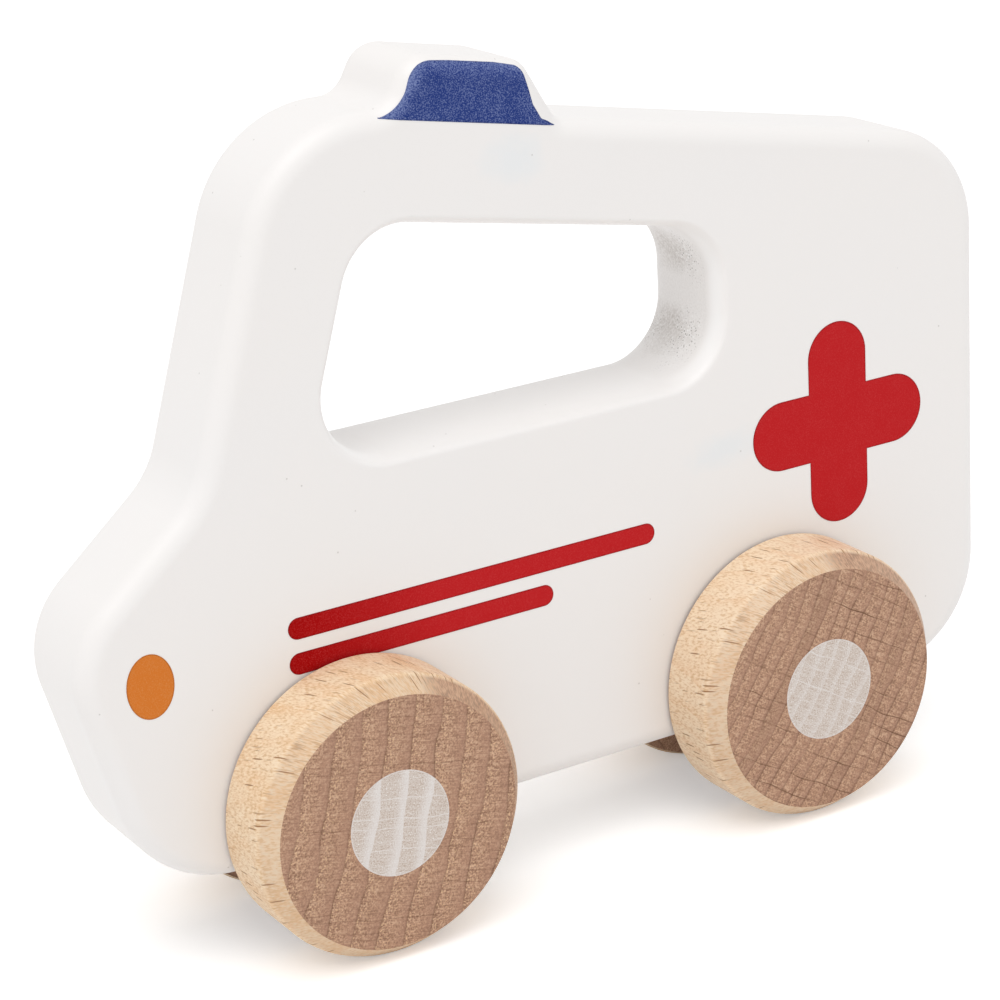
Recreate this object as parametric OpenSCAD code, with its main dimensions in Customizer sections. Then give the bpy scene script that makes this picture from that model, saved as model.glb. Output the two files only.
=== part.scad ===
// Push-along toy ambulance: a rounded board with a grip window and a roof beacon,
// two dowel axles and four turned wheels. X points to the nose, Y to the left side
// and Z up. The floor is Z = 0, and the origin lies under the middle of the board.

/* [Board] */
// Length of the board from tail to nose
board_l = 154; // [148:1:164]
// Thickness of the board
board_t = 18; // [14:1:24]
// Height of the flat belly above the floor
belly_z = 13.4; // [12.6:0.1:14.4]
// Height of the roof line above the floor, halfway along the board
roof_z = 112.4; // [110:0.2:118]
// Slope of the roof, which rises to the front
roof_angle = 11; // [8:0.5:13]
// Height of the short level ledge between the windscreen and the beacon
ledge_z = 117.5; // [116.4:0.1:118]
// Radius of the rounding along the outline's edges
edge_r = 3; // [1.5:0.1:3.4]
// Radius of the tail's two corners
tail_r = 17.2; // [12:0.2:20]
// Radius of the corner between the windscreen and the ledge
brow_r = 19.4; // [14:0.2:20]
// Slope of the windscreen and of the window's front edge
screen_angle = 72.5; // [68:0.5:76]
// Place of the windscreen's line along the board, at the height of the sill
screen_x = 57.4; // [55:0.2:59]
// Radius of the hollow where the windscreen meets the bonnet
screen_foot_r = 13.8; // [8:0.2:15]
// Slope of the bonnet
bonnet_angle = 40; // [36:0.5:43]
// Height of the nose, at the middle of its rounding
nose_z = 46.6; // [45:0.2:48]
// Radius of the nose
nose_r = 14; // [9:0.2:15]
// Angle by which the chin leans back from upright
chin_lean = 14.5; // [10:0.5:18]
// Radius of the corner between the chin and the belly
chin_r = 17.6; // [12:0.2:19]

/* [Window] */
// Height of the window's sill above the floor
sill_z = 69.4; // [66:0.2:72]
// Width of the front pillar, along the sill
pillar_w = 17.2; // [15:0.2:20]
// Height of the roof beam over the window, measured upright
beam_h = 15.6; // [14.4:0.2:18]
// Length of board between the window and the tail
quarter_w = 48.3; // [44:0.5:54]
// Radius of the window's four corners
window_r = 9.3; // [6:0.1:10]
// Radius of the rounding along the window's edges
window_edge_r = 1.7; // [1:0.1:2.5]

/* [Beacon] */
// Height of the beacon over the roof line, measured upright
beacon_h = 8; // [7.6:0.1:9]
// Place of the middle of the beacon's front flank along the board
beacon_front_x = 22; // [20.5:0.5:24]
// Place of the middle of the beacon's back flank along the board
beacon_back_x = -0.6; // [-2.5:0.1:1]
// Angle by which both flanks lean inwards from upright
beacon_lean = 29.5; // [24:0.5:32]
// Radius of the beacon's front top corner
beacon_front_r = 4.9; // [3.8:0.1:5]
// Radius of the beacon's back top corner
beacon_back_r = 3.8; // [3.8:0.1:5]
// Radius of the hollow at the beacon's front foot
front_foot_r = 4.3; // [2.5:0.1:4.6]
// Radius of the hollow at the beacon's back foot
back_foot_r = 2.6; // [2:0.1:5]

/* [Wheels] */
// Diameter of the wheels
wheel_d = 42; // [38:0.5:44]
// Thickness of the wheels
wheel_w = 12.4; // [10:0.1:15]
// Distance between the front and the rear axle
wheelbase = 74.4; // [70:0.2:78]
// Width of the bevel on the wheel's outer edge, along the radius
bevel_r = 2.2; // [1:0.1:4]
// Depth of the same bevel, along the axle
bevel_w = 3; // [1:0.1:5]
// Bevel on the wheel's inner edge
back_bevel = 0.3; // [0.2:0.1:2]

/* [Axles and fits] */
// Diameter of the dowel axles
axle_d = 8; // [6:0.2:9]
// Radial play of an axle in the board
axle_play = 0.1; // [0.02:0.01:0.1]
// Gap between the board and a wheel
side_gap = 0.4; // [0.3:0.1:1.5]
// Depth of the blind socket in a wheel
socket_depth = 9; // [6:0.5:9]
// Radial gap for glue around an axle in its socket
glue_gap = 0.02; // [0.01:0.01:0.05]
// Gap between an axle's end and the bottom of its socket
end_gap = 0.5; // [0.2:0.1:1]
// Bevel on the ends of the axles
axle_bevel = 0.6; // [0.3:0.1:1]

/* [Hidden] */
wheel_r = wheel_d / 2;
axle_r = axle_d / 2;
axle_x = wheelbase / 2;
nose_x = board_l / 2 - nose_r;
roof_rise = tan(roof_angle);
// Largest angle between neighbouring sections along a rounded corner
corner_step = 7.5;
// Steps in which the rounding turns from the side face to the rim
edge_steps = 4;
// How far the rim's ring reaches into the wood past its rounding, and how far the core laps it
ring_reach = 0.6;
core_lap = 0.3;

// A line is [x, z, heading]. Along every line the wood lies on the left.
chin_heading = 90 - chin_lean;
bonnet_heading = 180 - bonnet_angle;
chin_point = [nose_x, nose_z] + nose_r * outward(chin_heading);
bonnet_point = [nose_x, nose_z] + nose_r * outward(bonnet_heading);

// The outline's lines, from the belly forwards and over the roof to the tail
outline = [
    [0, belly_z, 0],
    [chin_point[0], chin_point[1], chin_heading],
    [bonnet_point[0], bonnet_point[1], bonnet_heading],
    [screen_x, sill_z, 180 - screen_angle],
    [0, ledge_z, 180],
    [beacon_front_x, flank_z(beacon_front_x), 90 + beacon_lean],
    [0, roof_z + beacon_h, 180 + roof_angle],
    [beacon_back_x, flank_z(beacon_back_x), 270 - beacon_lean],
    [0, roof_z, 180 + roof_angle],
    [-board_l / 2, 0, 270]
];
// The radius of the corner before each of those lines
outline_radii = [
    tail_r,
    chin_r,
    nose_r,
    screen_foot_r,
    brow_r,
    front_foot_r,
    beacon_front_r,
    beacon_back_r,
    back_foot_r,
    tail_r
];

// The window's lines: its top edge, front edge, sill and back edge
window = [
    [0, roof_z - beam_h, roof_angle],
    [screen_x - pillar_w, sill_z, -screen_angle],
    [0, sill_z, 180],
    [quarter_w - board_l / 2, 0, 90]
];
window_radii = [window_r, window_r, window_r, window_r];

outline_loop = sections(outline, outline_radii);
window_loop = sections(window, window_radii);

// Height of the middle of a beacon flank that stands at x
function flank_z(x) = roof_z + x * roof_rise + beacon_h / 2;

function heading(a) = [cos(a), sin(a)];
function outward(a) = [sin(a), -cos(a)];

// The point where two lines cross
function crossing(p, q) =
    let (
        u = heading(p[2]),
        v = heading(q[2]),
        d = [q[0] - p[0], q[1] - p[1]]
    )
    [p[0], p[1]] + u * cross(d, v) / cross(u, v);

// Angle turned between two lines: positive at a corner that stands out, negative in a hollow
function bend(p, q) = (q[2] - p[2] + 540) % 360 - 180;

// The rounded corner before line i: [start, end, centre, radius, bend, heading in, heading out]
function corner(lines, radii, i) =
    let (
        n = len(lines),
        p = lines[(i + n - 1) % n],
        q = lines[i % n],
        r = radii[i % n],
        turned = bend(p, q),
        tip = crossing(p, q),
        reach = r * tan(abs(turned) / 2),
        start = tip - reach * heading(p[2]),
        end = tip + reach * heading(q[2]),
        centre = start - sign(turned) * r * outward(p[2])
    )
    [start, end, centre, r, turned, p[2], q[2]];

// Sections along a whole loop, each [point, outward direction]
function sections(lines, radii) =
    [for (i = [0 : len(lines) - 1])
        let (c = corner(lines, radii, i), steps = ceil(abs(c[4]) / corner_step))
        for (k = [0 : steps])
            let (out = outward(c[5] + c[4] * k / steps))
            [c[2] + sign(c[4]) * c[3] * out, out]];

// The rim in section: [depth into the wood, place across the board], round at both edges
function rim_profile(r) =
    let (
        turns = [for (k = [0 : edge_steps]) 90 * k / edge_steps],
        half = [for (t = turns) [r - r * sin(t), board_t / 2 - r + r * cos(t)]],
        reach = r + ring_reach
    )
    concat(
        [[reach, board_t / 2]],
        half,
        [for (k = [edge_steps : -1 : 0]) [half[k][0], -half[k][1]]],
        [[reach, -board_t / 2]]
    );

// The loop moved into the wood, to where the core laps a rim of rounding r
function core_points(loop, r) = [for (s = loop) s[0] - (r + core_lap) * s[1]];

// A closed ring of wood along a loop, with its two edges rounded
module rim(loop, r) {
    profile = rim_profile(r);
    n = len(loop);
    m = len(profile);
    points = [for (s = loop) for (p = profile) let (q = s[0] - p[0] * s[1]) [q[0], q[1], p[1]]];
    faces = [for (i = [0 : n - 1]) for (j = [0 : m - 1])
        let (i2 = (i + 1) % n, j2 = (j + 1) % m)
        [i * m + j, i2 * m + j, i2 * m + j2, i * m + j2]];
    polyhedron(points, faces);
}

// The plain middle of the board, open at the window
module core() {
    outer = core_points(outline_loop, edge_r);
    inner = core_points(window_loop, window_edge_r);
    outer_n = len(outer);
    linear_extrude(board_t, center = true)
        polygon(
            concat(outer, inner),
            [[for (i = [0 : outer_n - 1]) i], [for (i = [0 : len(inner) - 1]) outer_n + i]]
        );
}

// The board: rounded all round, open at the window and bored for both axles
module body() {
    color("whitesmoke")
        difference() {
            rotate([90, 0, 0]) {
                core();
                rim(outline_loop, edge_r);
                rim(window_loop, window_edge_r);
            }
            for (end = [-1, 1])
                translate([end * axle_x, 0, wheel_r])
                    rotate([90, 0, 0])
                        cylinder(r = axle_r + axle_play, h = 2 * board_t, center = true, $fn = 48);
        }
}

// A dowel across the board; end is 1 at the front and -1 at the rear
module axle(end) {
    reach = board_t / 2 + side_gap + socket_depth - end_gap;
    color("burlywood")
        translate([end * axle_x, 0, wheel_r])
            rotate([90, 0, 0])
                rotate_extrude($fn = 48)
                    polygon([
                        [0, -reach],
                        [axle_r - axle_bevel, -reach],
                        [axle_r, axle_bevel - reach],
                        [axle_r, reach - axle_bevel],
                        [axle_r - axle_bevel, reach],
                        [0, reach]
                    ]);
}

// A turned wheel with a blind socket; side is 1 on the left and -1 on the right
module wheel(end, side) {
    socket_r = axle_r + glue_gap;
    color("wheat")
        translate([end * axle_x, side * (board_t / 2 + side_gap), wheel_r])
            rotate([-90 * side, 0, 0])
                rotate_extrude($fn = 72)
                    polygon([
                        [0, socket_depth],
                        [socket_r, socket_depth],
                        [socket_r, 0],
                        [wheel_r - back_bevel, 0],
                        [wheel_r, back_bevel],
                        [wheel_r, wheel_w - bevel_w],
                        [wheel_r - bevel_r, wheel_w],
                        [0, wheel_w]
                    ]);
}

module front_axle() axle(1);
module rear_axle() axle(-1);
module wheel_front_left() wheel(1, 1);
module wheel_front_right() wheel(1, -1);
module wheel_rear_left() wheel(-1, 1);
module wheel_rear_right() wheel(-1, -1);

body();
front_axle();
rear_axle();
wheel_front_left();
wheel_front_right();
wheel_rear_left();
wheel_rear_right();
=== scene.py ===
"""Looks of the push-along toy ambulance: painted board, printed marks, dowel axles and turned wheels."""

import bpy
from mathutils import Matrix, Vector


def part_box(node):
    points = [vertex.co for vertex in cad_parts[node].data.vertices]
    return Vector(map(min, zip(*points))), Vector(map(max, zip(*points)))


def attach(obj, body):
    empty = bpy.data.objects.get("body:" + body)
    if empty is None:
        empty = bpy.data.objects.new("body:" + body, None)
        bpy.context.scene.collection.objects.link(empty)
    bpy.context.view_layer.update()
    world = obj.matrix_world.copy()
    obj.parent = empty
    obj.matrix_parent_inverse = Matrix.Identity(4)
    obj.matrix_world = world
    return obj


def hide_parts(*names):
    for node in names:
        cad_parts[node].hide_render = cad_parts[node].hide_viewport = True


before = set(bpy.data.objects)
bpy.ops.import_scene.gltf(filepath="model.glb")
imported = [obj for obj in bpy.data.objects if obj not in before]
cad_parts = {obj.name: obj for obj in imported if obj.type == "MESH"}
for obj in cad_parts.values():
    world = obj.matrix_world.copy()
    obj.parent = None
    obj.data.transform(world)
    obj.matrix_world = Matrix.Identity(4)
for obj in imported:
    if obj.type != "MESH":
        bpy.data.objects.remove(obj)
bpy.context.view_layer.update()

import math

import bpy
import numpy as np
from bpy.props import FloatProperty, FloatVectorProperty, PointerProperty
from mathutils import Euler, Matrix, Vector

bl_info = {
    "name": "Toy Ambulance",
    "version": (1, 0, 0),
    "blender": (4, 5, 0),
    "location": "3D View > Sidebar > Toy Ambulance",
    "description": "Dresses the packed solids of a wooden toy ambulance and sets up its studio",
    "category": "Add Mesh",
}

MM = 0.001
SIDES = {"left": 1, "right": -1}
AXLES = ("front_axle", "rear_axle")

# Sizes that the frame gives
board_low, board_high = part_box("body")
BOARD_HALF_LENGTH = (board_high.x - board_low.x) / 2
BOARD_HALF = (board_high.y - board_low.y) / 2
BELLY_Z = board_low.z

# The board's outline as the part's source has it: places and radii in metres, slopes in degrees
ROOF_Z = 112.4 * MM
ROOF_SLOPE = 11
LEDGE_Z = 117.5 * MM
TAIL_R = 17.2 * MM
BROW_R = 19.4 * MM
SCREEN_SLOPE = 72.5
SCREEN_X = 57.4 * MM
SCREEN_FOOT_R = 13.8 * MM
BONNET_SLOPE = 40
NOSE_Z = 46.6 * MM
NOSE_R = 14 * MM
CHIN_LEAN = 14.5
CHIN_R = 17.6 * MM
SILL_Z = 69.4 * MM
PILLAR_W = 17.2 * MM
BEAM_H = 15.6 * MM
QUARTER_W = 48.3 * MM
WINDOW_R = 9.3 * MM
BEACON_H = 8 * MM
BEACON_FRONT_X = 22 * MM
BEACON_BACK_X = -0.6 * MM
BEACON_LEAN = 29.5
BEACON_FRONT_R = 4.9 * MM
BEACON_BACK_R = 3.8 * MM
FRONT_FOOT_R = 4.3 * MM
BACK_FOOT_R = 2.6 * MM

# A point inside the window from which every spoke meets the outline once and the window once
HUB = np.array((2, 83)) * MM

# Wheels and axles as the part's source has them
BEVEL_R = 2.2 * MM
BEVEL_W = 3 * MM
BACK_BEVEL = 0.3 * MM
SOCKET_DEPTH = 9 * MM
SOCKET_R = 4.02 * MM
BORE_R = 4.1 * MM
# Corners of a wheel's section, counted from the socket's end: the brow, and the rim's first and last
BROW_CORNER = 5
RIM_CORNERS = (3, 6)

# The beacon's blue film: the corners that it runs along, the height of its base line at X = 0, how far it
# reaches each way from its middle, and the turn of the rounding where its lip lies, from the front tip to
# the back tip
BEACON_CORNERS = slice(5, 9)
BEACON_BASE_Z = 111.45 * MM
BEACON_MIDDLE = 11.6 * MM
BEACON_REACH = 14.6 * MM
BEACON_STEP = 0.25 * MM
BEACON_SLIVER = 0.15 * MM
LIP_SHARES = (0, 0.12, 0.26, 0.4, 0.6, 0.69, 0.78, 0.88, 0.95, 1)
LIP_TURNS = (50, 56, 43, 37, 36, 43, 62, 84, 84, 60)

# How thin the film gets at its lip everywhere, and the painted sheen added on its front-facing rounding
LIP_THINS = 0.55
LIP_SHEEN_FRONT = 0.45

# The two stripes, each with its front end, back end and height in millimetres
STRIPES = {"upper": (44.1, -13.8, 47.9), "lower": (44.3, 4.2, 42.7)}

# How finely the surfaces are divided
ARC_STEPS = 25
EDGE_STEPS = 13
FACE_ROWS = 5
WHEEL_STEPS = 192
WHEEL_ARC_STEPS = 7
BORE_STEPS = 96
PRINT_STEPS = 33
PRINT_ROWS = 24
# Width of the ridge of ink along a printed mark's edge
PRINT_EDGE = 0.25 * MM
# Distance from a rounding to the row that keeps the flat beside it flat
HOLD = 0.4 * MM
# Bend from which an edge stays sharp
SHARP_EDGE = math.radians(40)
# Digits that are kept of a spoke's angle, so that spokes that all but meet are one
SPOKE_DIGITS = 4
# How far the drawn rim stays inside the true outline, because the solid's round corners are flat facets
INSET = 0.02 * MM

# Ragged ovals on the paint, each with its middle and its half sizes in millimetres: faint smudges on the
# left face, patches of painted shade on the window's back wall, and clusters of open pores there
SMUDGES = (((5.2, 9, 107.7), (6, 2, 4.2)), ((-28.6, 9, 57.8), (8, 2, 3.4)))
WALL_SHADE_PATCHES = (((-28, -2, 86.5), (12, 8, 5)), ((-28, -3.5, 74), (12, 8.5, 5)))
PORES = (
    ((-28, 1.6, 86.5), (16, 4, 5.5)),
    ((-28, 1.4, 73.5), (16, 4.4, 5.5)),
    ((-28, -6.4, 73.5), (16, 3.4, 3.4)),
)
# How far a noise moves the ovals' edges, and where these fade, in half sizes from the middle
OVAL_RAGGED = 0.9
OVAL_FADE = (0.7, 1.5)
# Weight of the painted highlight on the left rounding of the window
ROUNDING_HIGHLIGHT = 4

# Each ink's colour towards the front, where it is deeper, its dark ridge, its pale specks and how strong
# these are, and the places along the board between which it gets deeper
INKS = {
    "red": ("A00000", "5E0A10", "D05050", 0.3),
    "orange": ("D67930", "8A4E12", "DC9A5E", 0.4),
    "blue": ("283B7C", "1C2858", "92A0CC", 0.6),
}
INK_DEEPENS = (22 * MM, 46 * MM)

# The softbox over the toy: place and size in metres, and power in watts
SOFTBOX_PLACE = (0.6, 0.7, 2.2)
SOFTBOX_SIZE = 1.8
SOFTBOX_POWER = 22
# Half a side of the floor in metres
FLOOR_REACH = 3.0

# The wood of each wheel and axle: the heart of the tree in X and Z from the piece's middle, the spacing
# of the year rings and of the rays across them, in millimetres, the strength of the rings, of the rays,
# of the golden flecks behind each ring line and of the white bands in the hub's wash, the lean of the
# fibres in X and Z along the axle, the side in X and Z where the bevel is painted brown as shade, and
# along the grain how pale the wood is and how strong its warm arches
WOOD_KEYS = ("heart", "ring", "ray_gap", "line", "ray", "fleck", "band", "lean", "brown", "pale", "arch")
WOODS = {
    "wheel_front_left": ((136, 32), 4.2, 1.3, 0.95, 0.5, 1.0, 0.65, (-0.25, 0.2), (-1, -0.05), 0, 0.2),
    "wheel_front_right": ((-70, 95), 3.4, 1.8, 0.7, 0.5, 0.7, 0.5, (0.15, 0.1), (-0.8, 0.6), 0.3, 0.4),
    "wheel_rear_left": ((100, 60), 2.5, 2.1, 1.0, 1.0, 0.35, 0.35, (-0.2, 0.17), (-0.98, 0.2), 0.35, 0.5),
    "wheel_rear_right": ((88, -60), 3.1, 2, 0.9, 0.8, 0.5, 0.4, (0.1, -0.1), (-0.9, -0.4), 0.2, 0.4),
}
WHEEL_WOOD = {node: dict(zip(WOOD_KEYS, values)) for node, values in WOODS.items()}
DOWEL_WOOD = {
    "heart": (40, 25), "ring": 3, "lean": (0.03, 0.02), "brown": (-1, 0), "pale": 0.2, "arch": 0.3,
}
# Ring spacing in millimetres at which a ring line has its drawn width, half the width of a ray from its dark
# core to its end, and how far inside the rim the bevel's look starts and is whole, in metres
LINE_RING = 2.5
RAY_CORE = 0.03 * MM
RAY_END = 0.13 * MM
BEVEL_STARTS = 0.15 * MM
BEVEL_WHOLE = 0.5 * MM


def linear(code):
    """Turns an sRGB hex colour into the linear colour that a shader takes."""
    levels = np.array([int(code[i:i + 2], 16) for i in (0, 2, 4)]) / 255
    low = levels / 12.92
    high = ((levels + 0.055) / 1.055) ** 2.4
    return (*np.where(levels <= 0.04045, low, high).tolist(), 1.0)


def per(size):
    """Scale of a pattern whose features are this many metres across."""
    return 1 / size


def length(label, description, size):
    """A size in millimetres that a user would change."""
    return FloatProperty(name=label, description=description, default=size * MM, min=0, unit="LENGTH")


def angle(label, description, degrees):
    """An angle that a user would change."""
    return FloatProperty(name=label, description=description, default=math.radians(degrees), subtype="ANGLE")


def colour(label, description, code):
    """A colour that a user would change."""
    return FloatVectorProperty(
        name=label, description=description, subtype="COLOR", size=4, min=0, max=1, default=linear(code)
    )


class BoardSettings(bpy.types.PropertyGroup):
    """Roundings and paint of the board."""

    edge_radius: length("Edge radius", "Rounding along the outline's edges", 3)
    window_inward: length("Window rounding", "Reach of the window's rounding over the faces", 1.5)
    window_across: length("Window rounding depth", "Reach of the window's rounding into the window", 4)
    paint: colour("Paint", "White of the lacquer", "F2EEEB")
    paint_cool: colour("Cool paint", "Where the lacquer is a little thinner and cooler", "F0EEED")


class PrintSettings(bpy.types.PropertyGroup):
    """Places, sizes and inks of the marks printed on both sides of the board."""

    film: length("Film", "Thickness of a printed mark", 0.04)
    lamp_x: length("Lamp X", "Place of the lamp's middle along the board", 66.9)
    lamp_z: length("Lamp Z", "Height of the lamp's middle", 45.3)
    lamp_width: length("Lamp width", "Width of the oval lamp", 7.1)
    lamp_height: length("Lamp height", "Height of the oval lamp", 9.4)
    cross_back: length("Cross setback", "Distance of the cross's middle behind the board's middle", 49.6)
    cross_z: length("Cross Z", "Height of the cross's middle", 57.4)
    cross_arm: length("Cross arm", "Distance from the cross's middle to the middle of a round end", 10.5)
    cross_half: length("Cross half width", "Half the width of an arm", 5.39)
    stripe_half: length("Stripe half width", "Half the width of a stripe", 1.6)
    red: colour("Red ink", "Cross and stripes", "BF2024")
    orange: colour("Orange ink", "Lamp", "D67930")
    blue: colour("Blue ink", "Beacon", "283B7C")


class WheelSettings(bpy.types.PropertyGroup):
    """Edges, hub wash and wood of the wheels."""

    edge_radius: length("Edge softness", "Rounding of the turned edges", 0.25)
    brow_radius: length("Brow softness", "Rounding between the rim and the bevel", 1)
    wash_radius: length("Wash radius", "Radius of the pale disc on the outer face", 7.84)
    wash_film: length("Wash film", "Thickness of the pale disc", 0.03)
    end_grain: colour("End grain", "Beech on the wheel's faces", "B78E74")
    end_dark: colour("Pores", "Dark grit on the wheel's faces", "94725C")
    end_light: colour("Fibre ends", "Light grit on the wheel's faces", "D0AC90")
    long_grain: colour("Long grain", "Beech on the wheel's rim", "EED4B4")
    long_dark: colour("Rim dash", "Short dark dashes on the rim", "94683F")
    long_warm: colour("Warm patch", "Warmer patches on the rim", "E9C69F")
    wash: colour("Wash", "Thin white paint on the hub", "D2C5BB")


class StageSettings(bpy.types.PropertyGroup):
    """Camera, lamps and floor."""

    aim: FloatVectorProperty(
        name="Aim", description="Point that the camera looks at", subtype="XYZ", unit="LENGTH",
        default=(5.33 * MM, 0, 55.24 * MM),
    )
    distance: length("Distance", "Distance from the camera to its aim", 442.83)
    azimuth: angle("Azimuth", "Direction of the camera, from the nose towards the left side", 59.627)
    elevation: angle("Elevation", "Angle of the camera over the floor", 19.472)
    roll: angle("Roll", "Turn of the camera about its own axis", -3.466)
    lens: FloatProperty(
        name="Lens", description="Focal length on a 36 mm wide sensor", default=109.32,
        subtype="DISTANCE_CAMERA",
    )
    room: FloatProperty(name="Room light", description="Level of the light from all round", default=0.735)
    floor_lift: FloatProperty(name="Floor lift", description="Glow that the camera sees on it", default=0.3)
    floor: colour("Floor", "Pale studio floor", "F7F7F7")


class AmbulanceSettings(bpy.types.PropertyGroup):
    """All settings of the toy ambulance."""

    board: PointerProperty(type=BoardSettings)
    prints: PointerProperty(type=PrintSettings)
    wheels: PointerProperty(type=WheelSettings)
    stage: PointerProperty(type=StageSettings)


def heading(degrees):
    """Unit vectors along headings: the cosine along X and the sine along Z."""
    turn = np.radians(degrees)
    return np.stack((np.cos(turn), np.sin(turn)), axis=-1)


def outward(degrees):
    """Unit vectors to the right of headings, which point away from the wood."""
    return heading(np.asarray(degrees) - 90)


def cross(u, v):
    """The upright part of the cross product of plane vectors."""
    return u[..., 0] * v[..., 1] - u[..., 1] * v[..., 0]


def unit(vectors):
    """Vectors brought to length one."""
    return vectors / np.linalg.norm(vectors, axis=-1, keepdims=True)


def in_space(plan, place):
    """Points in space from points (x, z) on a side view and their places across the board."""
    return np.stack((plan[..., 0], np.broadcast_to(place, plan.shape[:-1]), plan[..., 1]), axis=-1)


def fan(tip, first, second):
    """Corner numbers of the triangles from a tip to pairs of points."""
    return np.stack((np.full(len(first), tip), first, second), axis=-1)


def corner_arcs(rows, steps, hold):
    """Points and outward normals of the round corner before each line, as arrays of (corner, step, 2).

    A row is a line (x, z, heading) and the radius of the corner before it. Neighbouring lines cross at
    the corner's tip. The arc leaves the first line at the tip less the radius times the tangent of half
    the bend, its centre lies one radius to the side that it bends to, and its points turn evenly from the
    first heading to the second. A point is added on each line, a hold's length from the arc.
    """
    after = np.array(rows, float)
    before = np.roll(after, 1, axis=0)
    along = heading(before[:, 2])
    leaving = heading(after[:, 2])
    run = cross(after[:, :2] - before[:, :2], leaving) / cross(along, leaving)
    tip = before[:, :2] + run[:, None] * along
    bend = (after[:, 2] - before[:, 2] + 540) % 360 - 180
    radius = np.sign(bend) * after[:, 3]
    reach = radius * np.tan(np.radians(bend / 2))
    centre = tip - reach[:, None] * along - radius[:, None] * outward(before[:, 2])
    turn = before[:, 2, None] + bend[:, None] * np.linspace(0, 1, steps)
    normals = outward(turn)
    arcs = centre[:, None] + radius[:, None, None] * normals
    first = arcs[:, :1] - hold * along[:, None]
    last = arcs[:, -1:] + hold * leaving[:, None]
    points = np.concatenate((first, arcs, last), axis=1)
    return points, np.concatenate((normals[:, :1], normals, normals[:, -1:]), axis=1)


def board_outline():
    """The outline's lines, with the wood on the left, and the radius of the corner before each."""
    chin = 90 - CHIN_LEAN
    bonnet = 180 - BONNET_SLOPE
    nose = np.array((BOARD_HALF_LENGTH - NOSE_R, NOSE_Z))
    rise = math.tan(math.radians(ROOF_SLOPE))
    flank_z = ROOF_Z + BEACON_H / 2
    return [
        (0, BELLY_Z, 0, TAIL_R),
        (*(nose + NOSE_R * outward(chin)), chin, CHIN_R),
        (*(nose + NOSE_R * outward(bonnet)), bonnet, NOSE_R),
        (SCREEN_X, SILL_Z, 180 - SCREEN_SLOPE, SCREEN_FOOT_R),
        (0, LEDGE_Z, 180, BROW_R),
        (BEACON_FRONT_X, flank_z + BEACON_FRONT_X * rise, 90 + BEACON_LEAN, FRONT_FOOT_R),
        (0, ROOF_Z + BEACON_H, 180 + ROOF_SLOPE, BEACON_FRONT_R),
        (BEACON_BACK_X, flank_z + BEACON_BACK_X * rise, 270 - BEACON_LEAN, BEACON_BACK_R),
        (0, ROOF_Z, 180 + ROOF_SLOPE, BACK_FOOT_R),
        (-BOARD_HALF_LENGTH, 0, 270, TAIL_R),
    ]


def window_outline():
    """The window's lines, with the wood on the left, and the radius of the corner before each."""
    return [
        (0, ROOF_Z - BEAM_H, ROOF_SLOPE, WINDOW_R),
        (SCREEN_X - PILLAR_W, SILL_Z, -SCREEN_SLOPE, WINDOW_R),
        (0, SILL_Z, 180, WINDOW_R),
        (QUARTER_W - BOARD_HALF_LENGTH, 0, 90, WINDOW_R),
    ]


def rim_loop():
    """Points and outward normals of the outline's corners, moved a hair into the wood along the normals."""
    points, normals = corner_arcs(board_outline(), ARC_STEPS, HOLD)
    return points - INSET * normals, normals


def on_spokes(angles, points, normals):
    """Points and normals of a loop where the spokes at these angles from the hub meet it.

    Between two points of the loop, both are mixed in proportion to the angle.
    """
    spokes = np.arctan2(points[:, 1] - HUB[1], points[:, 0] - HUB[0])
    columns = np.concatenate((points, normals), axis=1).T
    met = np.stack([np.interp(angles, spokes, column, period=2 * math.pi) for column in columns], axis=-1)
    return met[:, :2], unit(met[:, 2:])


def edge_section(inward, across):
    """Section across a rim, from the right face to the left: depth into the wood and place across the board.

    A quarter oval leads from each face to the flat of the rim: the depth is the inward radius less its
    cosine part, and the place is the half thickness less the radius across plus its sine part.
    """
    turn = np.linspace(0, math.pi / 2, EDGE_STEPS)
    depth = inward * (1 - np.cos(turn))
    place = BOARD_HALF - across + across * np.sin(turn)
    flat = BOARD_HALF - across - HOLD
    depths = np.concatenate((depth[::-1], (0, 0), depth))
    places = np.concatenate((-place[::-1], (-flat, flat), place))
    return depths, places


def grid_quads(rows, columns, closed_rows=False, closed_columns=False):
    """Corner numbers of the quads of a grid of points, which may close on itself either way."""
    row = np.arange(rows if closed_rows else rows - 1)[:, None]
    column = np.arange(columns if closed_columns else columns - 1)[None]
    next_row = (row + 1) % rows * columns
    next_column = (column + 1) % columns
    row = row * columns
    quads = np.stack((row + column, next_row + column, next_row + next_column, row + next_column), axis=-1)
    return quads.reshape(-1, 4)


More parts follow.
